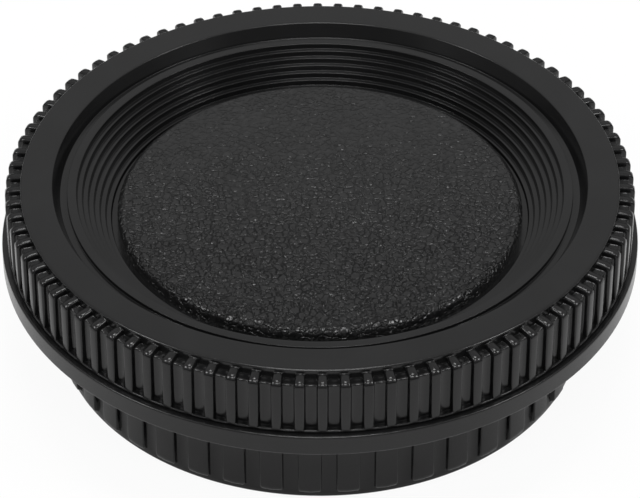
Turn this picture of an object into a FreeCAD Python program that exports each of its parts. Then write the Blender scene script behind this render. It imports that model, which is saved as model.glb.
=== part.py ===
import FreeCAD, Part

import os

import Sketcher

# A camera body cap locked by its bayonet on a rear lens cap, in millimetres.
# The rear cap stands on its closed end with its mouth up, and the body cap sits on it.
# +Z is up, the origin is the centre of the rear cap's closed end, -Y is the front.

doc = FreeCAD.newDocument("cap_pair")
sheet = doc.addObject("Spreadsheet::Sheet", "dims")

# Driving sizes: name, value, meaning. Angles are in degrees.
sizes = [
    # Fit between the two caps
    ("seam_gap", 0.1, "between the body cap's seat and the rear cap's mouth"),
    ("twist_gap", 0.3, "running clearance of the bayonet"),
    # Bayonet of the body cap
    ("collar_radius", 21.85, "outside of the collar"),
    ("collar_wall", 1.8, "thickness of the collar"),
    ("collar_lead", 0.7, "collar that reaches past the lugs"),
    ("collar_bevel", 0.3, "lead-in at the end of the collar"),
    ("lug_reach", 1.95, "how far a lug stands out of the collar"),
    ("lug_height", 1.3, "thickness of a lug"),
    ("lug_angle", 50, "sweep of a lug"),
    ("lug_count", 3, "lugs, and tabs that hold them"),
    # Body cap, outside
    ("cap_height", 6.2, "seat to rim"),
    ("knurl_radius", 30.5, "over the knurl bars"),
    ("bar_count", 90, "knurl bars"),
    ("bar_width", 0.92, "width of a bar"),
    ("bar_stand", 0.54, "how far a bar stands out of the valley"),
    ("bar_drop", 0.46, "top of the bars below the rim"),
    ("bar_top_bevel", 0.32, "bevel at the top of a bar"),
    ("bar_phase", 2.45, "turn of the first bar from +X"),
    ("ledge_drop", 1.0, "top of the valleys below the rim"),
    ("flange_height", 0.25, "thin flange under the bars"),
    ("flange_stand", 0.04, "flange outside the bars"),
    ("rim_inset", 1.5, "rim inside the bars"),
    ("rim_width", 3.15, "flat of the rim"),
    # Body cap, recess in the top
    ("wall_drop", 1.4, "depth of the wall inside the rim"),
    ("wall_lean", 0.65, "lean of that wall"),
    ("trough_width", 0.7, "flat at the foot of the wall"),
    ("land_rise", 0.38, "land above the trough"),
    ("land_width", 0.88, "land outside the steps"),
    ("step_run", 0.545, "pitch of the rings, inwards"),
    ("step_rise", 0.52, "pitch of the rings, downwards"),
    ("step_lean", 0.11, "lean of each ring's wall"),
    ("moat_width", 0.6, "ditch round the panel"),
    ("moat_drop", 0.35, "floor of the ditch below the last ring"),
    ("panel_rise", 1.35, "panel above the floor of the ditch"),
    ("panel_bevel", 0.3, "edge of the panel"),
    # Body cap, underside
    ("web", 1.6, "thickness under the ditch"),
    ("skirt_wall", 1.76, "wall behind the knurl"),
    ("rim_thickness", 1.65, "rim over the deepest part of the channel"),
    # Rear cap
    ("cup_wall", 1.55, "wall of the cup"),
    ("cup_floor", 1.6, "closed end"),
    ("lug_gap", 0.5, "between the lugs and the cup"),
    ("grip_height", 9.95, "closed end to the underside of the lip"),
    ("foot_bevel", 0.3, "edge of the closed end"),
    ("lip_height", 2.1, "smooth lip"),
    ("lip_stand", 0.55, "lip outside the knurl"),
    ("lip_bevel", 0.15, "edges of the lip"),
    ("pad_count", 45, "finger pads round the cup"),
    ("pad_stand", 0.45, "how far a pad stands out"),
    ("pad_width", 2.2, "width of a pad"),
    ("pad_start", 0.83, "foot of the pads above the closed end"),
    ("pad_bevel", 0.35, "lower edge of a pad"),
    ("pad_phase", 3.9, "turn of the first pad from +X"),
    ("tab_drop", 0.45, "tabs below the mouth"),
    ("tab_height", 1.4, "thickness of a tab"),
    ("tab_angle", 50, "sweep of a tab"),
    ("stop_angle", 3.5, "sweep of a stop"),
    ("stop_gap", 0.6, "angle between a locked lug and its stop"),
]
for row, (name, value, meaning) in enumerate(sizes, start=1):
    sheet.set(f"A{row}", name)
    sheet.set(f"B{row}", str(value))
    sheet.set(f"C{row}", meaning)
    sheet.setAlias(f"B{row}", name)
doc.recompute()

# A cut or a root runs this far past the face it starts from, so that faces never just graze.
overrun = 0.3
step_count = 6


def dim(name):
    """A cell of the sheet, as it is written in an expression."""
    return f"dims.{name}"


def total(*terms):
    """The sum of expressions; one that starts with a minus is taken away."""
    text = ""
    for term in terms:
        if str(term).startswith("-"):
            text += f" - ({str(term)[1:]})"
        else:
            text += f" + ({term})"
    return f"(0{text})"


def less(term):
    """The same expression, to be taken away by total."""
    return f"-{term}"


def number(expression):
    """What an expression is worth now."""
    value = sheet.evalExpression(str(expression))
    return float(getattr(value, "Value", value))


def origin_feature(body, role):
    """One of the body's own origin planes or axes."""
    for feature in body.Origin.OriginFeatures:
        if feature.Role == role:
            return feature
    raise ValueError(role)


def make_body(label):
    body = doc.addObject("PartDesign::Body", label)
    body.Label = label
    return body


def attach(thing, body, plane):
    thing.AttachmentSupport = [(origin_feature(body, plane), "")]
    thing.MapMode = "FlatFace"


def turn_about(thing, axis, angle):
    """Turn an attached object about one of its own axes."""
    rotation = FreeCAD.Rotation(FreeCAD.Vector(*axis), 1)
    thing.AttachmentOffset = FreeCAD.Placement(FreeCAD.Vector(), rotation)
    thing.setExpression("AttachmentOffset.Rotation.Angle", str(angle))


def make_sketch(body, name, plane, points, turn=None):
    """A closed outline on an upright origin plane, each corner tied to a pair of expressions.

    turn is an angle about the body's own axis.
    """
    sketch = body.newObject("Sketcher::SketchObject", name)
    attach(sketch, body, plane)
    places = [FreeCAD.Vector(number(across), number(up), 0) for across, up in points]
    count = len(places)
    for index in range(count):
        sketch.addGeometry(Part.LineSegment(places[index], places[(index + 1) % count]), False)
    for index in range(count):
        sketch.addConstraint(Sketcher.Constraint("Coincident", index, 2, (index + 1) % count, 1))
    for index, (across, up) in enumerate(points):
        for kind, axis, term, value in (("DistanceX", -2, across, places[index].x),
                                        ("DistanceY", -1, up, places[index].y)):
            if str(term) == "0":
                sketch.addConstraint(Sketcher.Constraint("PointOnObject", index, 1, axis))
                continue
            place = sketch.addConstraint(Sketcher.Constraint(kind, -1, 1, index, 1, value))
            sketch.setExpression(f"Constraints[{place}]", str(term))
    if turn is not None:
        turn_about(sketch, (0, 1, 0), turn)
    doc.recompute()
    return sketch


def revolve(body, name, sketch, angle=None):
    """Turn an upright outline about the body's axis, all round or evenly to both sides."""
    feature = body.newObject("PartDesign::Revolution", name)
    feature.Profile = sketch
    feature.ReferenceAxis = (sketch, ["V_Axis"])
    feature.Angle = 360
    if angle is not None:
        feature.Midplane = True
        feature.setExpression("Angle", str(angle))
    doc.recompute()
    return feature


def pad(body, name, sketch, length):
    """Push an upright outline out evenly to both sides."""
    feature = body.newObject("PartDesign::Pad", name)
    feature.Profile = sketch
    feature.Midplane = True
    feature.setExpression("Length", str(length))
    doc.recompute()
    return feature


def groove(body, name, sketch):
    """Turn an upright outline about the body's axis and cut it away."""
    before = body.Shape.Volume
    feature = body.newObject("PartDesign::Groove", name)
    feature.Profile = sketch
    feature.ReferenceAxis = (sketch, ["V_Axis"])
    feature.Angle = 360
    doc.recompute()
    if body.Shape.Volume >= before:
        raise RuntimeError(f"{name} cuts nothing")
    return feature


def repeat(body, name, originals, count):
    """Copies all round the body's axis."""
    feature = body.newObject("PartDesign::PolarPattern", name)
    feature.Originals = originals
    feature.Axis = (origin_feature(body, "Z_Axis"), [""])
    feature.Angle = 360
    feature.setExpression("Occurrences", str(count))
    body.Tip = feature
    doc.recompute()
    return feature


def box_outline(inner, outer, low, high):
    return [(inner, low), (outer, low), (outer, high), (inner, high)]


# Radii and heights that follow from the driving sizes. Heights in the body cap are
# counted from its seat, and in the rear cap from its closed end.
rim_radius = total(dim("knurl_radius"), less(dim("rim_inset")))
rim_inner = total(rim_radius, less(dim("rim_width")))
wall_foot = total(rim_inner, less(dim("wall_lean")))
land_outer = total(wall_foot, less(dim("trough_width")))
land_inner = total(land_outer, less(dim("land_width")))
valley_radius = total(dim("knurl_radius"), less(dim("bar_stand")))
flange_radius = total(dim("knurl_radius"), dim("flange_stand"))
skirt_inner = total(valley_radius, less(dim("skirt_wall")))
moat_radius = total(land_inner, less(f"{step_count} * {dim('step_run')}"), less(dim("step_lean")))
panel_radius = total(moat_radius, less(dim("moat_width")))
collar_bore = total(dim("collar_radius"), less(dim("collar_wall")))

trough_level = total(dim("cap_height"), less(dim("wall_drop")))
land_level = total(trough_level, dim("land_rise"))
moat_level = total(land_level, less(f"{step_count} * {dim('step_rise')}"), less(dim("moat_drop")))
panel_level = total(moat_level, dim("panel_rise"))
ledge_level = total(dim("cap_height"), less(dim("ledge_drop")))
bar_level = total(dim("cap_height"), less(dim("bar_drop")))
roof_level = total(dim("cap_height"), less(dim("rim_thickness")))
ceiling_level = total(moat_level, less(dim("web")))

lug_radius = total(dim("collar_radius"), dim("lug_reach"))
cup_bore = total(lug_radius, dim("lug_gap"))
cup_radius = total(cup_bore, dim("cup_wall"))
lip_radius = total(dim("knurl_radius"), dim("lip_stand"))
mouth_level = total(dim("grip_height"), dim("lip_height"))
tab_top = total(mouth_level, less(dim("tab_drop")))
tab_bottom = total(tab_top, less(dim("tab_height")))
tab_inner = total(dim("collar_radius"), dim("twist_gap"))
seat_level = total(mouth_level, dim("seam_gap"))

# The lugs hang under the tabs, so their heights are taken from the rear cap's.
lug_top = total(tab_bottom, less(dim("twist_gap")), less(seat_level))
lug_bottom = total(lug_top, less(dim("lug_height")))
collar_end = total(lug_bottom, less(dim("collar_lead")))


def body_cap_blank():
    """The turned blank of the body cap: rim, flange and collar, solid from the axis outwards."""
    return [
        ("0", dim("cap_height")),
        (rim_radius, dim("cap_height")),
        (rim_radius, dim("flange_height")),
        (flange_radius, dim("flange_height")),
        (flange_radius, "0"),
        (dim("collar_radius"), "0"),
        (dim("collar_radius"), total(collar_end, dim("collar_bevel"))),
        (total(dim("collar_radius"), less(dim("collar_bevel"))), collar_end),
        ("0", collar_end),
    ]


def recess_outline():
    """What is turned out of the top: a sloping wall, the rings and the ditch round the panel."""
    above = total(dim("cap_height"), overrun)
    outline = [
        ("0", panel_level),
        (total(panel_radius, less(dim("panel_bevel"))), panel_level),
        (panel_radius, total(panel_level, less(dim("panel_bevel")))),
        (panel_radius, moat_level),
        (moat_radius, moat_level),
    ]
    for step in range(step_count, 0, -1):
        level = total(land_level, less(f"{step} * {dim('step_rise')}"))
        inner = total(land_inner, less(f"{step} * {dim('step_run')}"))
        outer = total(land_inner, less(f"{step - 1} * {dim('step_run')}"), less(dim("step_lean")))
        outline += [(inner, level), (outer, level)]
    outline += [
        (land_inner, land_level),
        (land_outer, land_level),
        (land_outer, trough_level),
        (wall_foot, trough_level),
        (rim_inner, dim("cap_height")),
        (rim_inner, above),
        ("0", above),
    ]
    return outline


def channel_outline():
    """The hollow between the skirt and the collar; its roof follows the slope of the rings."""
    below = less(overrun)
    return [
        (dim("collar_radius"), below),
        (skirt_inner, below),
        (skirt_inner, roof_level),
        (dim("collar_radius"), ceiling_level),
    ]


def bore_outline():
    """The hollow inside the collar."""
    below = total(collar_end, less(overrun))
    return [
        ("0", below),
        (collar_bore, below),
        (collar_bore, ceiling_level),
        ("0", ceiling_level),
    ]


def knurl_bar_outline():
    """One bar of the knurl from its side, rooted in the rim and in the flange under it."""
    root = total(rim_radius, less(overrun))
    foot = f"{dim('flange_height')} / 2"
    return [
        (root, foot),
        (dim("knurl_radius"), foot),
        (dim("knurl_radius"), total(bar_level, less(dim("bar_top_bevel")))),
        (total(dim("knurl_radius"), less(dim("bar_top_bevel"))), bar_level),
        (root, bar_level),
    ]


def valley_floors(body):
    """A prism whose flat sides are the floors of the valleys; its corners lie inside the bars."""
    prism = body.newObject("PartDesign::AdditivePrism", "valley_floors")
    attach(prism, body, "XY_Plane")
    turn_about(prism, (0, 0, 1), dim("bar_phase"))
    foot = f"{dim('flange_height')} / 2"
    prism.setExpression("AttachmentOffset.Base.z", foot)
    prism.setExpression("Polygon", dim("bar_count"))
    prism.setExpression("Circumradius", f"({valley_radius}) / cos(180 deg / {dim('bar_count')})")
    prism.setExpression("Height", total(ledge_level, less(foot)))
    doc.recompute()


def make_body_cap():
    body = make_body("body_cap")
    blank = make_sketch(body, "blank_section", "XZ_Plane", body_cap_blank())
    revolve(body, "blank", blank)
    valley_floors(body)
    for name, outline in (("recess", recess_outline()), ("channel", channel_outline()),
                          ("bore", bore_outline())):
        groove(body, name, make_sketch(body, f"{name}_section", "XZ_Plane", outline))
    bar = make_sketch(body, "bar_section", "XZ_Plane", knurl_bar_outline(), turn=dim("bar_phase"))
    bar_pad = pad(body, "knurl_bar", bar, dim("bar_width"))
    repeat(body, "knurl", [bar_pad], dim("bar_count"))
    root = total(dim("collar_radius"), less(overrun))
    lug = make_sketch(body, "lug_section", "YZ_Plane",
                      box_outline(root, lug_radius, lug_bottom, lug_top))
    lug_turn = revolve(body, "lug", lug, dim("lug_angle"))
    repeat(body, "lugs", [lug_turn], dim("lug_count"))
    body.setExpression("Placement.Base.z", seat_level)
    return body


def rear_cap_outline():
    """The turned section of the rear cap, from the axis outwards over the outside and back in."""
    return [
        ("0", "0"),
        (total(cup_radius, less(dim("foot_bevel"))), "0"),
        (cup_radius, dim("foot_bevel")),
        (cup_radius, dim("grip_height")),
        (total(lip_radius, less(dim("lip_bevel"))), dim("grip_height")),
        (lip_radius, total(dim("grip_height"), dim("lip_bevel"))),
        (lip_radius, total(mouth_level, less(dim("lip_bevel")))),
        (total(lip_radius, less(dim("lip_bevel"))), mouth_level),
        (cup_bore, mouth_level),
        (cup_bore, dim("cup_floor")),
        ("0", dim("cup_floor")),
    ]


def finger_pad_outline():
    """The section of one finger pad, rooted in the cup's wall and in the lip."""
    root = total(cup_radius, less(overrun))
    face = total(cup_radius, dim("pad_stand"))
    high = total(dim("grip_height"), overrun)
    return [
        (root, dim("pad_start")),
        (total(face, less(dim("pad_bevel"))), dim("pad_start")),
        (face, total(dim("pad_start"), dim("pad_bevel"))),
        (face, high),
        (root, high),
    ]


def make_rear_cap():
    body = make_body("rear_cap")
    section = make_sketch(body, "cup_section", "XZ_Plane", rear_cap_outline())
    revolve(body, "cup_turned", section)
    grip = make_sketch(body, "pad_section", "XZ_Plane", finger_pad_outline(), turn=dim("pad_phase"))
    grip_pad = pad(body, "finger_pad", grip, dim("pad_width"))
    repeat(body, "finger_pads", [grip_pad], dim("pad_count"))

    # Each tab reaches over its stop, so it is turned further to the stop's side.
    root = total(cup_bore, overrun)
    past = total(dim("stop_angle"), dim("stop_gap"))
    tab = make_sketch(body, "tab_section", "YZ_Plane",
                      box_outline(tab_inner, root, tab_bottom, tab_top), turn=f"-({past}) / 2")
    tab_turn = revolve(body, "tab", tab, total(dim("tab_angle"), past))
    repeat(body, "tabs", [tab_turn], dim("lug_count"))
    stop_turned = total(f"{dim('lug_angle')} / 2", dim("stop_gap"), f"{dim('stop_angle')} / 2")
    stop_bottom = total(lug_bottom, seat_level)
    stop = make_sketch(body, "stop_section", "YZ_Plane",
                       box_outline(tab_inner, root, stop_bottom, total(tab_bottom, overrun)),
                       turn=f"-({stop_turned})")
    stop_turn = revolve(body, "stop", stop, dim("stop_angle"))
    repeat(body, "stops", [stop_turn], dim("lug_count"))
    return body


def check(bodies):
    """Stop if any object failed, or a body isn't one sound solid."""
    for thing in doc.Objects:
        if "Invalid" in thing.State or "Error" in thing.State:
            raise RuntimeError(f"{thing.Name} failed: {thing.State}")
    for body in bodies:
        shape = body.Shape
        if shape.isNull() or not shape.isValid() or len(shape.Solids) != 1:
            raise RuntimeError(f"{body.Label} is not one sound solid")


bodies = [make_rear_cap(), make_body_cap()]
doc.recompute()
check(bodies)
os.makedirs("parts", exist_ok=True)
for body in bodies:
    body.Shape.exportStep(f"parts/{body.Label}.step")
    box = body.Shape.BoundBox
    print(f"{body.Label}: {body.Shape.Volume:.0f} mm3, {len(body.Shape.Faces)} faces, "
          f"z {box.ZMin:.2f} to {box.ZMax:.2f}, across {box.XLength:.2f} by {box.YLength:.2f}")
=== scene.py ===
import math

import bmesh
import bpy
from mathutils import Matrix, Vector


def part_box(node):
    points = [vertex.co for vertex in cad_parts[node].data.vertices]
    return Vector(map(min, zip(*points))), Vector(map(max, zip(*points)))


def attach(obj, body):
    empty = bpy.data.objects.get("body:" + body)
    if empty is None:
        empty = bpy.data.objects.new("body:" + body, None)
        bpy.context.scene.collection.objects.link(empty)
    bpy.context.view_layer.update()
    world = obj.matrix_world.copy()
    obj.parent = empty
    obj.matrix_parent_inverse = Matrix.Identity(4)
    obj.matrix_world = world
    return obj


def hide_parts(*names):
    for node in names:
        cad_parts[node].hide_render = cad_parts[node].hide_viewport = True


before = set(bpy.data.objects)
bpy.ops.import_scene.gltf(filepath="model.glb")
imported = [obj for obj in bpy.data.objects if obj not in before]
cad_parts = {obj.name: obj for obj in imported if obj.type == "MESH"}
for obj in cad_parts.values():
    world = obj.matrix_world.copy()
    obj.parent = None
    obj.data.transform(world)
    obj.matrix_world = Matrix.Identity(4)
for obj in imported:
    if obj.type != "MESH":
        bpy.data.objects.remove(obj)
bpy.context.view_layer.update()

# A knurled camera body cap, turned onto its rear lens cap. Lengths are in millimetres and
# heights start at the table, until a mesh is made, which is in metres.

mm = 0.001
turnPoints = 180  # round each plain ring
capLow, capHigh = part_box("body_cap")
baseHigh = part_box("rear_cap")[1]
rimTop = capHigh[2] / mm
collarEnd = capLow[2] / mm
mouthTop = baseHigh[2] / mm
lipReach = baseHigh[0] / mm
print("frame: rim", round(rimTop, 3), "mouth", round(mouthTop, 3), "lip", round(lipReach, 3))


class Value:
    # a socket that can be added, scaled and taken away, each sum making its own Math node
    def __init__(self, graph, socket):
        self.graph = graph
        self.socket = socket

    def __add__(self, other):
        return self.graph.sum("ADD", self, other)

    def __sub__(self, other):
        return self.graph.sum("SUBTRACT", self, other)

    def __rsub__(self, other):
        return self.graph.sum("SUBTRACT", other, self)

    def __mul__(self, other):
        return self.graph.sum("MULTIPLY", self, other)

    def __truediv__(self, other):
        return self.graph.sum("DIVIDE", self, other)

    def __rtruediv__(self, other):
        return self.graph.sum("DIVIDE", other, self)

    __radd__ = __add__
    __rmul__ = __mul__


class Graph:
    # a node tree of any kind, filled by calls
    def __init__(self, tree):
        self.tree = tree

    def node(self, kind, settings=None, sockets=None):
        made = self.tree.nodes.new(kind)
        for name, setting in (settings or {}).items():
            setattr(made, name, setting)
        for name, given in (sockets or {}).items():
            target = made.inputs[name]
            if isinstance(given, Value):
                given = given.socket
            if isinstance(given, bpy.types.NodeSocket):
                self.tree.links.new(given, target)
            else:
                target.default_value = given
        return made

    def value(self, output, kind, settings=None, sockets=None):
        return Value(self, self.node(kind, settings, sockets).outputs[output])

    def sum(self, operation, *terms):
        return self.value(0, "ShaderNodeMath", {"operation": operation}, dict(enumerate(terms)))

    def spread(self, given, lowest, highest, low=0.0, high=1.0):
        # lowest..highest becomes low..high, smoothly, and stays there outside
        return self.value("Result", "ShaderNodeMapRange", {"interpolation_type": "SMOOTHSTEP"},
                          {"Value": given, "From Min": lowest, "From Max": highest,
                           "To Min": low, "To Max": high})

    def scaled(self, vector, factor):
        return self.value("Vector", "ShaderNodeVectorMath", {"operation": "SCALE"},
                          {"Vector": vector, "Scale": factor})

    def moved(self, vector, by):
        return self.value("Vector", "ShaderNodeVectorMath", {"operation": "ADD"},
                          {0: vector, 1: by})

    def noise(self, place, scale, detail, more=None, output="Fac", settings=None):
        sockets = {"Vector": place, "Scale": scale, "Detail": detail, **(more or {})}
        return self.value(output, "ShaderNodeTexNoise", settings, sockets)

    def mixed(self, share, first, second):
        # the colour that lies between two, from a share of 0 to 1
        mix = self.node("ShaderNodeMix", {"data_type": "RGBA"}, {0: share, 6: first, 7: second})
        return Value(self, mix.outputs[2])

    def bump(self, height, strength, depth):
        return self.value("Normal", "ShaderNodeBump", {}, {
            "Height": height, "Strength": strength, "Distance": depth * mm})


# Meshes, built a ring at a time

class Shell:
    def __init__(self):
        self.points = []
        self.faces = []

    def row(self, places):
        first = len(self.points)
        self.points.extend(places)
        return list(range(first, len(self.points)))

    def ring(self, radius, height, angles):
        return self.row([(radius * math.cos(angle), radius * math.sin(angle), height)
                         for angle in angles])

    def bridge(self, first, second, closed=True):
        for here in range(len(first) if closed else len(first) - 1):
            after = (here + 1) % len(first)
            self.faces.append((first[here], first[after], second[after], second[here]))

    def zipped(self, first, second):
        # joins two whole rings that have different counts
        def angle(index, laps=0):
            x, y, height = self.points[index]
            return (math.atan2(y, x) + 1e-6) % math.tau + math.tau * laps

        first, second = sorted(first, key=angle), sorted(second, key=angle)
        here, there = 0, 0
        while here < len(first) or there < len(second):
            one, other = first[here % len(first)], second[there % len(second)]
            nextOne, nextOther = first[(here + 1) % len(first)], second[(there + 1) % len(second)]
            oneAngle = angle(nextOne, (here + 1) // len(first))
            otherAngle = angle(nextOther, (there + 1) // len(second))
            if there == len(second) or (here < len(first) and oneAngle <= otherAngle):
                self.faces.append((one, nextOne, other))
                here += 1
            else:
                self.faces.append((one, nextOther, other))
                there += 1

    def cap(self, ring, height):
        # a flat end, as a fan from the middle
        middle = self.row([(0.0, 0.0, height)])[0]
        for here, corner in enumerate(ring):
            self.faces.append((corner, ring[(here + 1) % len(ring)], middle))

    def turned(self, profile):
        # a profile of radius and height, turned about the common axis; gives back its rings
        rings = [self.ring(radius, height, roundTurn(turnPoints)) for radius, height in profile]
        for inner, outer in zip(rings, rings[1:]):
            self.bridge(inner, outer)
        return rings

    def mesh(self, name):
        made = bpy.data.meshes.new(name)
        made.from_pydata([Vector(point) * mm for point in self.points], [], self.faces)
        made.update()
        return made


def roundTurn(count):
    return [math.tau * step / count for step in range(count)]


def fillet(before, corner, after, reach, steps=3):
    # the points of a small arc that rounds a corner of a profile
    corner, before, after = Vector(corner), Vector(before), Vector(after)
    first = corner + (before - corner).normalized() * reach
    last = corner + (after - corner).normalized() * reach
    arc = []
    for step in range(steps + 1):
        share = step / steps
        arc.append(tuple(first * (1 - share) ** 2 + corner * 2 * share * (1 - share)
                         + last * share ** 2))
    return arc


def rounded(corners):
    # a profile's points; a corner may also say how far its rounding reaches, and in how many steps
    line = []
    for before, corner, after in zip(corners[:1] + corners, corners, corners[1:] + corners[-1:]):
        if len(corner) > 2:
            line += fillet(before[:2], corner[:2], after[:2], *corner[2:])
        else:
            line.append(corner)
    return line


def guarded(profile, longest=0.3, near=0.05):
    # adds a point near both ends of each long run, so that its shading stays flat
    points = [Vector(profile[0])]
    for end in profile[1:]:
        start, end = points[-1], Vector(end)
        run = end - start
        if run.length > longest:
            points += [start + run.normalized() * near, end - run.normalized() * near]
        points.append(end)
    return [tuple(point) for point in points]


def arcBlock(root, tip, low, high, sweep, edge=0.12, steps=18):
    # a closed block that follows the wall, for lugs, tabs and stops
    shell = Shell()
    half = math.radians(sweep) / 2
    nearTip = tip - math.copysign(edge, tip - root)
    outline = [(root, low), (nearTip, low), (tip, low + edge), (tip, high - edge),
               (nearTip, high), (root, high)]
    lines = []
    for step in range(steps + 1):
        angle = -half + 2 * half * step / steps
        lines.append(shell.row([(radius * math.cos(angle), radius * math.sin(angle), height)
                                for radius, height in outline]))
    for here, after in zip(lines, lines[1:]):
        shell.bridge(here, after)
    shell.faces.append(tuple(lines[0]))
    shell.faces.append(tuple(reversed(lines[-1])))
    return shell


class Grip:
    # equal bars or pads round the axis. A column is a place across one of them and how much of
    # it is there. A row is a radius and a height in the valley between two, then on top of one.
    def __init__(self, count, firstDegrees, columns, rows, shift, top=None):
        right = columns + [(math.inf, 0.0)]  # infinity stands for the seam with the next one
        left = [(-across, share) for across, share in reversed(right)]
        self.columns = left[:-1] + right
        self.count, self.firstDegrees, self.pitch = count, firstDegrees, math.tau / count
        self.rows, self.shift, self.top = rows, shift, top

    def turn(self, across, radius):
        seam = math.copysign(self.pitch / 2, across)
        return seam if math.isinf(across) else math.asin(across / radius)

    def level(self, height):
        # with a top, the rows' heights are drops below it
        return height if self.top is None else self.top - height

    def sector(self):
        shell = Shell()
        previous = None
        for valley, bar in self.rows:
            line = []
            for across, share in self.columns:
                radius = valley[0] + (bar[0] - valley[0]) * share
                height = valley[1] + (bar[1] - valley[1]) * share
                level = self.level(height + self.shift(abs(across), valley[1]) * share)
                angle = self.turn(across, radius)
                line.append((radius * math.cos(angle), radius * math.sin(angle), level))
            here = shell.row(line)
            if previous:
                shell.bridge(previous, here, closed=False)
            previous = here
        return shell

    def copies(self, name, material):
        return copiesRound(self.sector(), name, self.count, self.firstDegrees, material)

    def endRing(self, shell, row):
        # the ring that the copies make at an end row, so that the next part can be sewn to it
        radius, height = row[0]
        first = math.radians(self.firstDegrees)
        angles = [first + number * self.pitch + self.turn(across, radius)
                  for number in range(self.count) for across, share in self.columns[:-1]]
        return shell.ring(radius, self.level(height), angles)


# Geometry node trees

def newTree(name, inputs):
    tree = bpy.data.node_groups.new(name, "GeometryNodeTree")
    for title, kind in inputs:
        tree.interface.new_socket(title, in_out="INPUT", socket_type="NodeSocket" + kind)
    tree.interface.new_socket("Geometry", in_out="OUTPUT", socket_type="NodeSocketGeometry")
    return tree, Graph(tree)


def treeEnd(graph, geometry, material):
    # every tree ends in real geometry with its material
    real = graph.node("GeometryNodeRealizeInstances", {}, {"Geometry": geometry})
    painted = graph.node("GeometryNodeSetMaterial", {}, {
        "Geometry": real.outputs[0], "Material": material})
    graph.node("NodeGroupOutput", {}, {"Geometry": painted.outputs[0]})


def ringTree():
    # copies one sector all the way round the common axis
    tree, graph = newTree("sectors round the axis", [
        ("Geometry", "Geometry"), ("Count", "Int"), ("First angle", "Float"),
        ("Material", "Material")])
    given = graph.node("NodeGroupInput").outputs
    count = Value(graph, given["Count"])
    index = graph.value("Index", "GeometryNodeInputIndex")
    angle = index * (math.tau / count) + Value(graph, given["First angle"])
    centres = graph.node("GeometryNodePoints", {}, {"Count": count})
    euler = graph.value("Vector", "ShaderNodeCombineXYZ", {}, {"Z": angle})
    turn = graph.value("Rotation", "FunctionNodeEulerToRotation", {}, {"Euler": euler})
    copies = graph.node("GeometryNodeInstanceOnPoints", {}, {
        "Points": centres.outputs[0], "Instance": given["Geometry"], "Rotation": turn})
    treeEnd(graph, copies.outputs[0], given["Material"])
    return tree


def grainTree():
    # raises the pebbles of a leather grain along the surface's normal, and keeps their height
    tree, graph = newTree("leather grain", [
        ("Geometry", "Geometry"), ("Pebble size", "Float"), ("Depth", "Float"),
        ("Wander", "Float"), ("Seed", "Float"), ("Foot", "Float"), ("Top", "Float"),
        ("Full at", "Float"), ("Faint at", "Float"), ("Faint", "Float"),
        ("Material", "Material")])
    given = graph.node("NodeGroupInput").outputs
    size, depth = Value(graph, given["Pebble size"]), Value(graph, given["Depth"])
    seeded, seed = {"noise_dimensions": "4D"}, {"W": given["Seed"]}
    place = graph.value("Position", "GeometryNodeInputPosition")
    patch = graph.scaled(place, 1 / size)
    stray = graph.noise(patch, 0.9, 2.0, seed, "Color", seeded)
    stray = graph.scaled(graph.moved(stray, (-0.5, -0.5, -0.5)), given["Wander"])
    patch = graph.moved(patch, stray)
    seam = graph.value("Distance", "ShaderNodeTexVoronoi",
                       {"feature": "DISTANCE_TO_EDGE", "voronoi_dimensions": "4D"},
                       {"Vector": patch, "Scale": 1.0, **seed})
    swell = graph.noise(patch, 1.9, 3.0, {"Roughness": 0.65, **seed}, settings=seeded)
    calm = graph.noise(patch, 0.16, 1.0, seed, settings=seeded)
    pebble = graph.spread(seam, 0.0, 0.2) * graph.spread(calm, 0.3, 0.6, 0.35, 0.75)
    relief = pebble * 0.6 + graph.spread(swell, 0.3, 0.7) * 0.4
    kept = graph.node("GeometryNodeStoreNamedAttribute",
                      {"data_type": "FLOAT", "domain": "POINT"},
                      {"Geometry": given["Geometry"], "Name": "grain", "Value": relief})
    sides = graph.node("ShaderNodeSeparateXYZ", {}, {"Vector": place}).outputs
    upward = graph.spread(Value(graph, sides["Z"]), given["Foot"], given["Top"])
    backward = graph.spread(Value(graph, sides["Y"]), given["Full at"], given["Faint at"],
                            1.0, given["Faint"])
    normal = graph.value("Normal", "GeometryNodeInputNormal")
    lift = graph.scaled(normal, (relief - 0.8) * depth * (upward * backward))
    raised = graph.node("GeometryNodeSetPosition", {},
                        {"Geometry": kept.outputs[0], "Offset": lift})
    treeEnd(graph, raised.outputs[0], given["Material"])
    return tree


def grown(mesh, tree, inputs):
    # runs a tree on a mesh and gives the plain mesh back
    carrier = bpy.data.objects.new("carrier", mesh)
    bpy.context.scene.collection.objects.link(carrier)
    modifier = carrier.modifiers.new("grow", "NODES")
    modifier.node_group = tree
    for socket in tree.interface.items_tree:
        if socket.in_out == "INPUT" and socket.name in inputs:
            modifier[socket.identifier] = inputs[socket.name]
    depsgraph = bpy.context.evaluated_depsgraph_get()
    plain = bpy.data.meshes.new_from_object(carrier.evaluated_get(depsgraph),
                                            preserve_all_data_layers=True, depsgraph=depsgraph)
    carrier.modifiers.remove(modifier)
    bpy.data.objects.remove(carrier)
    return plain


sectorsRound = ringTree()
leatherGrain = grainTree()
print("trees ready")


def copiesRound(shell, name, count, firstDegrees, material):
    return grown(shell.mesh(name), sectorsRound, {
        "Count": count, "Material": material, "First angle": math.radians(firstDegrees)})


# Finishes

def newMaterial(name):
    material = bpy.data.materials.new(name)
    material.use_nodes = True
    material.node_tree.nodes.clear()
    return material, Graph(material.node_tree)


def shaded(graph, surface):
    graph.node("ShaderNodeOutputMaterial", {}, {"Surface": surface.outputs[0]})


def plasticShader(graph, looks, tone, rough, relief):
    shaded(graph, graph.node("ShaderNodeBsdfPrincipled", {}, {
        "Base Color": tone, "Roughness": rough, "Normal": relief,
        "Specular IOR Level": looks["specular"], "IOR": 1.5}))


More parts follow.
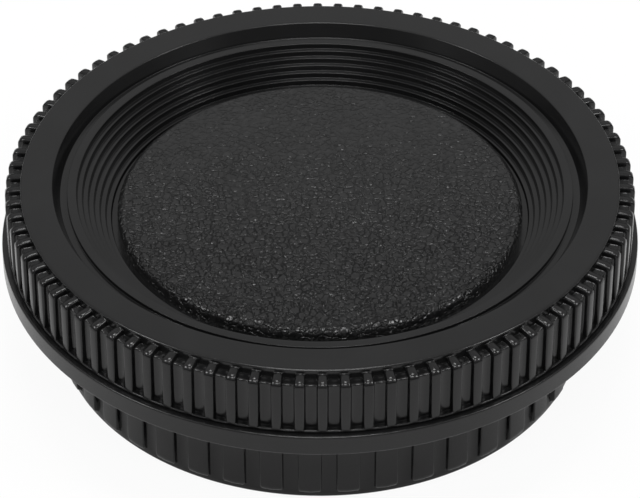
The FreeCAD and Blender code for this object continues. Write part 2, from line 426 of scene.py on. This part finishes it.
def mouldedPlastic(name, looks):
    # black plastic with the fine texture of its mould, and slow changes of sheen
    material, graph = newMaterial(name)
    place = graph.value("Object", "ShaderNodeTexCoord")
    fine = graph.noise(place, 1 / (looks["textureSize"] * mm), 3.0, {"Roughness": 0.6})
    slow = graph.noise(place, 1 / (looks["patchSize"] * mm), 4.0, {"Distortion": 0.4})
    tone = graph.mixed(graph.spread(slow, 0.3, 0.7), looks["dark"], looks["light"])
    rough = (looks["roughness"] + (slow - 0.5) * looks["sheenChange"]
             + (fine - 0.5) * looks["sheenGrain"])
    relief = graph.bump(fine, looks["textureStrength"], looks["textureDepth"])
    plasticShader(graph, looks, tone, rough, relief)
    return material


def grainedPlastic(name, looks):
    # the same black plastic with a leather grain: crests a little glossier than the creases, and
    # the creases painted darker as painted shade
    material, graph = newMaterial(name)
    place = graph.value("Object", "ShaderNodeTexCoord")
    crest = graph.value("Fac", "ShaderNodeAttribute", {"attribute_name": "grain"})
    wrinkles = 1 / (looks["wrinkleSize"] * mm)
    stray = graph.noise(place, wrinkles, 1.0, output="Color")
    bent = graph.moved(place, graph.scaled(stray, looks["wrinkleStray"] * mm))
    creases = graph.value("Distance", "ShaderNodeTexVoronoi", {"feature": "DISTANCE_TO_EDGE"}, {
        "Vector": bent, "Scale": wrinkles, "Randomness": 1.0})
    fine = graph.noise(place, 1 / (looks["textureSize"] * mm), 3.0)
    # painted shade: the colour is darker down in the grain's creases and lighter on its crests
    tone = graph.mixed(graph.spread(crest, 0.1, 0.9), looks["dark"], looks["light"])
    rough = (looks["roughness"] + (1 - crest) * looks["creaseRoughness"]
             + (fine - 0.5) * looks["sheenGrain"])
    # the grain is crisp in some places and nearly smooth in others, and fainter at the back
    calm = graph.noise(place, 1 / (looks["calmSize"] * mm), 3.0)
    crisp = graph.spread(calm, 0.36, 0.60, 0.6, 1.0)
    backward = graph.value("Y", "ShaderNodeSeparateXYZ", {}, {"Vector": place})
    faint = graph.spread(backward, looks["fullAt"] * mm, looks["faintAt"] * mm,
                         1.0, looks["backGrain"])
    height = (graph.spread(creases, 0.0, 0.14) * 0.8 + fine * 0.2) * crisp * faint
    relief = graph.bump(height, looks["wrinkleStrength"], looks["wrinkleDepth"])
    plasticShader(graph, looks, tone, rough, relief)
    return material


def finishPiece(name, parts, body, node, sharpest=46, mergeWithin=0.0015,
                plainGrain=0.5):
    # joins the parts into one closed mesh and hands it over in place of its CAD node
    points, faces, paints, grain, materials = [], [], [], [], []
    for part, material in parts:
        if material not in materials:
            materials.append(material)
        first = len(points)
        points.extend(vertex.co.copy() for vertex in part.vertices)
        faces.extend(tuple(first + corner for corner in face.vertices) for face in part.polygons)
        paints.extend([materials.index(material)] * len(part.polygons))
        stored = part.attributes.get("grain")
        grain.extend([entry.value for entry in stored.data] if stored
                     else [plainGrain] * len(part.vertices))
    mesh = bpy.data.meshes.new(name)
    mesh.from_pydata(points, [], faces)
    for material in materials:
        mesh.materials.append(material)
    mesh.polygons.foreach_set("material_index", paints)
    if any(part.attributes.get("grain") for part, material in parts):
        mesh.attributes.new("grain", "FLOAT", "POINT").data.foreach_set("value", grain)
    work = bmesh.new()
    work.from_mesh(mesh)
    bmesh.ops.remove_doubles(work, verts=work.verts, dist=mergeWithin * mm)
    bmesh.ops.recalc_face_normals(work, faces=work.faces)
    loose = sum(1 for edge in work.edges if len(edge.link_faces) != 2)
    work.to_mesh(mesh)
    work.free()
    mesh.shade_smooth()
    mesh.set_sharp_from_angle(angle=math.radians(sharpest))
    piece = bpy.data.objects.new(name, mesh)
    bpy.context.scene.collection.objects.link(piece)
    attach(piece, body)
    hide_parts(node)
    triangles = sum(len(face.vertices) - 2 for face in mesh.polygons)
    print(name, "has", triangles, "triangles and", loose, "open edges")


# The body cap: rim, knurl, stepped recess, grained panel, collar and lugs

capLooks = {
    "dark": (0.0040, 0.0040, 0.0041, 1.0), "light": (0.0060, 0.0060, 0.0062, 1.0),
    "roughness": 0.19, "sheenChange": 0.05, "sheenGrain": 0.04, "specular": 0.31,
    "textureSize": 0.16, "textureStrength": 0.12, "textureDepth": 0.02, "patchSize": 9.0}
panelLooks = {
    "dark": (0.0070, 0.0070, 0.0071, 1.0), "light": (0.0125, 0.0125, 0.0127, 1.0),
    "roughness": 0.12, "creaseRoughness": 0.10, "sheenGrain": 0.06, "specular": 0.33,
    "wrinkleSize": 0.74, "wrinkleStray": 0.8, "wrinkleDepth": 0.20, "wrinkleStrength": 1.0,
    "textureSize": 0.32, "calmSize": 2.0, "fullAt": -18.0, "faintAt": 14.0, "backGrain": 0.13}

# widths, heights and radii; a drop is measured down from the rim
bodyCap = {
    "barCount": 90, "firstBar": 2.45, "barWidth": 0.94,
    "noseFlat": 0.2, "noseRound": 0.14, "noseDrops": (0.95, 1.15),
    "rimInner": 25.9, "wallFoot": (25.2, 1.40), "trough": 24.5, "land": (23.62, 1.02),
    "steps": 6, "stepRise": 0.52, "stepGo": 0.545, "stepLean": 0.11, "stepRound": 0.04,
    "moatDrop": 4.49, "panelReach": 19.70, "panelDrop": 3.14, "panelRound": 0.8,
    "panelTurns": (11, 22, 33, 44, 55, 66, 78, 90), "panelWall": (0.38, 0.20, 0.0),
    "grainSpacing": 0.19, "pebbleSize": 0.80, "grainDepth": 0.24, "grainWander": 1.1,
    "grainSeed": 7.0, "grainStart": 0.3, "grainMargin": 0.2,
    "skirtInner": 28.2, "roofDrop": 1.65, "collarReach": 21.85, "collarBore": 20.05,
    "ceiling": 12.26, "lugs": 3, "lugRoot": 0.6, "lugReach": 23.8, "lugBottom": 8.6,
    "lugTop": 9.9, "lugSweep": 50.0, "lugTurn": 90}

# across one bar from its middle, and how much of the bar is there
barColumns = [(0.0, 1.0), (0.31, 1.0), (0.41, 0.965), (0.47, 0.80), (0.492, 0.38),
              (0.515, 0.08), (0.57, 0.0)]

# radius and drop in a valley, then on a bar
barRows = [
    # the rim's rounded edge
    ((28.60, 0.0), (28.60, 0.0)), ((28.80, 0.0), (28.80, 0.0)),
    ((28.875, 0.012), (28.875, 0.012)), ((28.945, 0.050), (28.945, 0.050)),
    ((28.99, 0.115), (28.99, 0.115)), ((29.0, 0.20), (29.0, 0.20)),
    # a valley's ledge, and a bar's sloping nose above it
    ((29.0, 0.55), (29.0, 0.25)), ((29.0, 0.90), (29.01, 0.34)),
    ((29.03, 0.975), (29.04, 0.37)), ((29.11, 1.0), (29.12, 0.385)),
    ((29.60, 1.0), (29.70, 0.42)), ((29.80, 1.0), (30.02, 0.47)),
    ((29.87, 1.012), (30.18, 0.535)), ((29.925, 1.045), (30.31, 0.625)),
    ((29.955, 1.11), (30.41, 0.74)), ((29.96, 1.20), (30.475, 0.89)),
    # the floor of the valley and the face of the bar
    ((29.96, 1.50), (30.5, 1.08)), ((29.96, 5.86), (30.5, 5.86)),
    ((29.965, 5.93), (30.5, 5.89)), ((30.0, 5.95), (30.5, 5.92)),
    ((30.06, 5.95), (30.5, 5.94)),
    # the flange that both stand on
    ((30.36, 5.95), (30.5, 5.96)), ((30.46, 5.97), (30.5, 5.99)),
    ((30.495, 6.02), (30.5, 6.03)), ((30.5, 6.08), (30.5, 6.08)),
    ((30.5, 6.12), (30.5, 6.12)), ((30.47, 6.18), (30.47, 6.18)),
    ((30.40, 6.20), (30.40, 6.20)), ((30.2, 6.20), (30.2, 6.20))]


def noseSide(across, drop):
    # lowers the sides of a bar's nose, which rounds it in plan
    highest, lowest = bodyCap["noseDrops"]
    if not highest < drop < lowest:
        return 0.0
    slope = bodyCap["barWidth"] / 2 - bodyCap["noseFlat"]
    past = max(across - bodyCap["noseFlat"], 0.0) / slope
    return bodyCap["noseRound"] * min(past, 1.0) ** 2


def recessProfile(cap):
    # from the rim's flat to the moat: sloping wall, trough, land and the six steps
    foot, footDrop = cap["wallFoot"]
    edge, level = cap["land"]
    corners = [(28.4, 0.0), (27.2, 0.0), (26.15, 0.0), (cap["rimInner"], 0.0, 0.06),
               (foot, footDrop, 0.03), (cap["trough"], footDrop, 0.05),
               (cap["trough"], level, 0.035), (24.1, level), (23.85, level)]
    drops = [level + cap["stepRise"] * (step + 1) for step in range(cap["steps"])]
    for drop in drops + [cap["moatDrop"]]:
        lean = cap["stepLean"] * (drop - level) / cap["stepRise"]
        corners += [(edge, level, cap["stepRound"]), (edge - lean, drop, 0.02, 2)]
        edge, level = edge - cap["stepGo"], drop
    corners.append((edge, level))  # only says which way the moat's floor runs
    return [(radius, rimTop - drop) for radius, drop in guarded(rounded(corners)[:-1])]


def panelShell(cap):
    # a disc of even triangles, then its rounded edge and its wall down into the moat
    shell = Shell()
    top, bend = rimTop - cap["panelDrop"], cap["panelRound"]
    flat = cap["panelReach"] - bend
    rings = round(flat / cap["grainSpacing"])
    previous = shell.row([(0.0, 0.0, top)])
    for number in range(1, rings + 1):
        here = shell.ring(flat * number / rings, top, roundTurn(6 * number))
        for side in range(6):
            for place in range(number):
                one = here[side * number + place]
                two = here[(side * number + place + 1) % len(here)]
                inner = previous[(side * (number - 1) + place) % len(previous)]
                shell.faces.append((one, two, inner))
                if place:
                    before = previous[(side * (number - 1) + place - 1) % len(previous)]
                    shell.faces.append((inner, before, one))
        previous = here
    turns = [math.radians(degrees) for degrees in cap["panelTurns"]]
    arc = [(flat + bend * math.sin(turn), top - bend * (1 - math.cos(turn))) for turn in turns]
    wall = [(cap["panelReach"], rimTop - cap["moatDrop"] + rise) for rise in cap["panelWall"]]
    for radius, height in arc + wall:
        here = shell.ring(radius, height, roundTurn(6 * rings))
        shell.bridge(previous, here)
        previous = here
    return shell, 6 * rings


capPlastic = mouldedPlastic("satin black cap plastic", capLooks)
panelPlastic = grainedPlastic("leather grained cap plastic", panelLooks)

knurl = Grip(bodyCap["barCount"], bodyCap["firstBar"], barColumns, barRows, noseSide, rimTop)
knurlMesh = knurl.copies("knurl", capPlastic)
print("knurl made of", bodyCap["barCount"], "bars")

recess = Shell()
rimRing = knurl.endRing(recess, barRows[0])
recessRings = recess.turned(recessProfile(bodyCap))
recess.zipped(rimRing, recessRings[0])
panel, panelCount = panelShell(bodyCap)
moatLevel, panelTop = rimTop - bodyCap["moatDrop"], rimTop - bodyCap["panelDrop"]
panelFoot = recess.ring(bodyCap["panelReach"], moatLevel, roundTurn(panelCount))
recess.zipped(recessRings[-1], panelFoot)
panelMesh = grown(panel.mesh("panel"), leatherGrain, {
    "Pebble size": bodyCap["pebbleSize"] * mm, "Depth": bodyCap["grainDepth"] * mm,
    "Wander": bodyCap["grainWander"], "Seed": bodyCap["grainSeed"], "Material": panelPlastic,
    "Foot": (moatLevel + bodyCap["grainStart"]) * mm,
    "Top": (panelTop - bodyCap["grainMargin"]) * mm,
    "Full at": panelLooks["fullAt"] * mm, "Faint at": panelLooks["faintAt"] * mm,
    "Faint": panelLooks["backGrain"]})
print("panel grained on", panelCount, "points round its edge")

under = Shell()
flangeRing = knurl.endRing(under, barRows[-1])
flangeBottom, roof = rimTop - barRows[-1][0][1], rimTop - bodyCap["roofDrop"]
skirt, collar, bore = bodyCap["skirtInner"], bodyCap["collarReach"], bodyCap["collarBore"]
ceiling = bodyCap["ceiling"]
underRings = under.turned(rounded([
    (30.0, flangeBottom), (28.6, flangeBottom), (skirt, flangeBottom, 0.15), (skirt, roof, 0.3),
    (collar, ceiling, 0.3), (collar, collarEnd + 1.0), (collar, collarEnd, 0.3),
    (bore, collarEnd, 0.2), (bore, collarEnd + 1.0), (bore, ceiling, 0.25),
    (19.0, ceiling), (10.0, ceiling)]))
under.zipped(flangeRing, underRings[0])
under.cap(underRings[-1], ceiling)

lugShell = arcBlock(collar - bodyCap["lugRoot"], bodyCap["lugReach"], bodyCap["lugBottom"],
                    bodyCap["lugTop"], bodyCap["lugSweep"])
lugMesh = copiesRound(lugShell, "lugs", bodyCap["lugs"], bodyCap["lugTurn"], capPlastic)

finishPiece("body_cap_moulding", [
    (knurlMesh, capPlastic), (recess.mesh("recess"), capPlastic), (panelMesh, panelPlastic),
    (under.mesh("underside"), capPlastic), (lugMesh, capPlastic)],
    "body_cap", "body_cap")

# The rear cap: cup, lip, finger pads, and the tabs and stops inside its mouth

baseLooks = {
    "dark": (0.0040, 0.0040, 0.0041, 1.0), "light": (0.0060, 0.0060, 0.0062, 1.0),
    "roughness": 0.21, "sheenChange": 0.06, "sheenGrain": 0.04, "specular": 0.31,
    "textureSize": 0.18, "textureStrength": 0.12, "textureDepth": 0.02, "patchSize": 11.0}
rearCap = {
    "padCount": 45, "firstPad": 3.9, "padWidth": 2.2, "padCorner": 0.4, "padFoot": (0.7, 1.5),
    "bore": 24.3, "floorTop": 1.6,
    "tabs": 3, "tabRoot": 0.6, "tabInner": 22.15, "tabBottom": 10.2, "tabTop": 11.6,
    "tabSweep": 54.1, "tabTurn": 87.95,
    "stopBottom": 8.6, "stopLap": 0.2, "stopSweep": 3.5, "stopTurn": 62.65,
    "stopEdge": 0.08, "stopPoints": 4}

# across one pad from its middle, and how much of the pad is there
padColumns = [(0.0, 1.0), (0.92, 1.0), (1.01, 0.985), (1.06, 0.92), (1.09, 0.74),
              (1.11, 0.30), (1.13, 0.06), (1.19, 0.0)]

# radius and height in a gap between pads, then on a pad
padRows = [
    # under the lip
    ((27.6, 9.95), (27.6, 9.95)), ((26.35, 9.95), (26.75, 9.95)),
    ((26.05, 9.93), (26.48, 9.93)), ((25.90, 9.84), (26.34, 9.84)),
    # the wall of the cup and the face of the pad
    ((25.85, 9.65), (26.3, 9.65)), ((25.85, 5.5), (26.3, 5.5)),
    ((25.85, 1.40), (26.3, 1.40)), ((25.85, 1.14), (26.29, 1.10)),
    # the pad's rounded foot
    ((25.85, 0.98), (26.22, 0.94)), ((25.85, 0.86), (26.1, 0.865)),
    ((25.85, 0.81), (25.95, 0.83)), ((25.85, 0.73), (25.86, 0.78)),
    ((25.85, 0.65), (25.85, 0.65)), ((25.85, 0.33), (25.85, 0.33)),
    # the rounded edge of the closed end
    ((25.82, 0.18), (25.82, 0.18)), ((25.73, 0.06), (25.73, 0.06)),
    ((25.58, 0.0), (25.58, 0.0)), ((25.3, 0.0), (25.3, 0.0))]


def padFoot(across, height):
    # lifts a pad's foot towards its sides, which rounds its lower corners
    lowest, highest = rearCap["padFoot"]
    corner = rearCap["padCorner"]
    past = across - (rearCap["padWidth"] / 2 - corner)
    if past <= 0 or not lowest <= height <= highest:
        return 0.0
    return corner - math.sqrt(corner ** 2 - min(past, corner) ** 2)


basePlastic = mouldedPlastic("black rear cap plastic", baseLooks)
pads = Grip(rearCap["padCount"], rearCap["firstPad"], padColumns, padRows, padFoot)
padMesh = pads.copies("finger pads", basePlastic)
print("finger pads made:", rearCap["padCount"])

cup = Shell()
lipBottom, boreReach, floorTop = padRows[0][0][1], rearCap["bore"], rearCap["floorTop"]
padRing = pads.endRing(cup, padRows[0])
lipRings = cup.turned(guarded(rounded([
    (28.0, lipBottom), (30.3, lipBottom), (lipReach, lipBottom, 0.14, 4),
    (lipReach, mouthTop, 0.22, 5), (30.6, mouthTop), (24.8, mouthTop),
    (boreReach, mouthTop, 0.2), (boreReach, 10.7), (boreReach, 2.6),
    (boreReach, floorTop, 0.4), (23.0, floorTop), (12.0, floorTop)])))
cup.zipped(padRing, lipRings[0])
cup.cap(lipRings[-1], floorTop)
footRing = pads.endRing(cup, padRows[-1])
closedEnd = cup.turned([(24.9, 0.0), (24.0, 0.0), (12.0, 0.0)])
cup.zipped(footRing, closedEnd[0])
cup.cap(closedEnd[-1], 0.0)

wallRoot = boreReach + rearCap["tabRoot"]
tabShell = arcBlock(wallRoot, rearCap["tabInner"], rearCap["tabBottom"], rearCap["tabTop"],
                    rearCap["tabSweep"])
tabMesh = copiesRound(tabShell, "tabs", rearCap["tabs"], rearCap["tabTurn"], basePlastic)
stopShell = arcBlock(wallRoot, rearCap["tabInner"], rearCap["stopBottom"],
                     rearCap["tabBottom"] + rearCap["stopLap"], rearCap["stopSweep"],
                     rearCap["stopEdge"], rearCap["stopPoints"])
stopMesh = copiesRound(stopShell, "stops", rearCap["tabs"], rearCap["stopTurn"], basePlastic)

finishPiece("rear_cap_moulding", [
    (padMesh, basePlastic), (cup.mesh("cup"), basePlastic), (tabMesh, basePlastic),
    (stopMesh, basePlastic)], "rear_cap", "rear_cap")

# Floor, light and camera

studio = {
    "floorSize": 3.0, "floorDrop": 2e-5, "floorLight": (0.70, 0.70, 0.70, 1.0),
    "floorDark": (0.68, 0.68, 0.68, 1.0), "floorWhite": 0.93, "floorMirrored": 0.30,
    "sky": (0.66, 0.66, 0.66, 1.0), "lowSky": (0.10, 0.10, 0.10, 1.0),
    "skyWhite": 0.95, "skyMirrored": 0.12,
    "dimEnds": (0.55, 0.80), "dimLow": (0.36, 0.52), "dimHorizon": (0.18, 0.32),
    "elevation": 37.4, "distance": 358.2, "lens": 208.1, "aimLower": 1.1225}
lampAim = (0, 0, 0.01)
lamps = [
    # name, place, width, depth, watts
    ("front softbox", (0.0, -0.55, 0.90), 0.46, 0.20, 3.6),
    ("overhead softbox", (0.0, 0.10, 1.08), 0.36, 0.22, 3.6),
    ("left softbox", (-0.76, -0.26, 0.73), 0.26, 0.26, 3.4),
    ("right softbox", (0.76, -0.26, 0.73), 0.26, 0.26, 3.4)]


def whitening(graph, toCamera, toMirror):
    # how far the backdrop is white by itself; the rest is lit, and keeps the object's shadow
    path = graph.node("ShaderNodeLightPath").outputs
    mirrored = graph.sum("MAXIMUM", Value(graph, path["Is Glossy Ray"]),
                         Value(graph, path["Is Transmission Ray"])) * toMirror
    return graph.sum("MAXIMUM", Value(graph, path["Is Camera Ray"]) * toCamera, mirrored)


def placeFloor():
    material, graph = newMaterial("pale studio floor")
    place = graph.value("Object", "ShaderNodeTexCoord")
    drift = graph.noise(place, 5.0, 2.0)
    tone = graph.mixed(graph.spread(drift, 0.3, 0.7), studio["floorLight"], studio["floorDark"])
    paper = graph.node("ShaderNodeBsdfPrincipled", {}, {
        "Base Color": tone, "Roughness": 0.8, "Specular IOR Level": 0.1})
    white = graph.node("ShaderNodeEmission", {}, {"Strength": 1.0})
    shaded(graph, graph.node("ShaderNodeMixShader", {}, {
        0: whitening(graph, studio["floorWhite"], studio["floorMirrored"]),
        1: paper.outputs[0], 2: white.outputs[0]}))
    half, level = studio["floorSize"] / 2, -studio["floorDrop"]
    corners = [(-half, -half, level), (half, -half, level), (half, half, level),
               (-half, half, level)]
    mesh = bpy.data.meshes.new("floor")
    mesh.from_pydata(corners, [], [(0, 1, 2, 3)])
    mesh.materials.append(material)
    floor = bpy.data.objects.new("floor", mesh)
    bpy.context.scene.collection.objects.link(floor)


def placeLamp(name, place, width, depth, watts):
    lamp = bpy.data.lights.new(name, "AREA")
    lamp.shape = "RECTANGLE"
    lamp.size, lamp.size_y, lamp.energy = width, depth, watts
    holder = bpy.data.objects.new(name, lamp)
    holder.location = place
    holder.rotation_euler = (Vector(lampAim) - Vector(place)).to_track_quat("-Z", "Y").to_euler()
    bpy.context.scene.collection.objects.link(holder)


def placeCamera():
    camera = bpy.data.cameras.new("camera")
    camera.sensor_width = 36.0
    camera.lens = studio["lens"]
    camera.clip_start = 0.01
    camera.clip_end = 20.0
    holder = bpy.data.objects.new("camera", camera)
    tilt = math.radians(studio["elevation"])
    away = studio["distance"] * mm
    holder.location = (0.0, -away * math.cos(tilt), rimTop * mm + away * math.sin(tilt))
    holder.rotation_euler = (math.radians(90 - studio["elevation"] - studio["aimLower"]), 0, 0)
    bpy.context.scene.collection.objects.link(holder)
    bpy.context.scene.camera = holder


def placeSky():
    # an even room, darker low down in front and behind, and all round at the horizon
    world = bpy.data.worlds.new("studio")
    world.use_nodes = True
    world.node_tree.nodes.clear()
    graph = Graph(world.node_tree)
    heading = graph.node("ShaderNodeSeparateXYZ", {}, {
        "Vector": graph.value("Generated", "ShaderNodeTexCoord")}).outputs
    alongDepth, upward = Value(graph, heading["Y"]), Value(graph, heading["Z"])
    atEnds = graph.spread(graph.sum("ABSOLUTE", alongDepth), *studio["dimEnds"])
    low = graph.spread(upward, *studio["dimLow"], 1.0, 0.0)
    horizon = graph.spread(upward, *studio["dimHorizon"], 1.0, 0.0)
    tone = graph.mixed(graph.sum("MAXIMUM", atEnds * low, horizon),
                       studio["sky"], studio["lowSky"])
    room = graph.node("ShaderNodeBackground", {}, {"Color": tone})
    white = graph.node("ShaderNodeBackground", {}, {"Strength": 1.0})
    seen = graph.node("ShaderNodeMixShader", {}, {
        0: whitening(graph, studio["skyWhite"], studio["skyMirrored"]),
        1: room.outputs[0], 2: white.outputs[0]})
    graph.node("ShaderNodeOutputWorld", {}, {"Surface": seen.outputs[0]})
    bpy.context.scene.world = world


placeFloor()
for lampValues in lamps:
    placeLamp(*lampValues)
placeCamera()
placeSky()
bpy.context.scene.view_settings.view_transform = "Standard"
print("studio set")
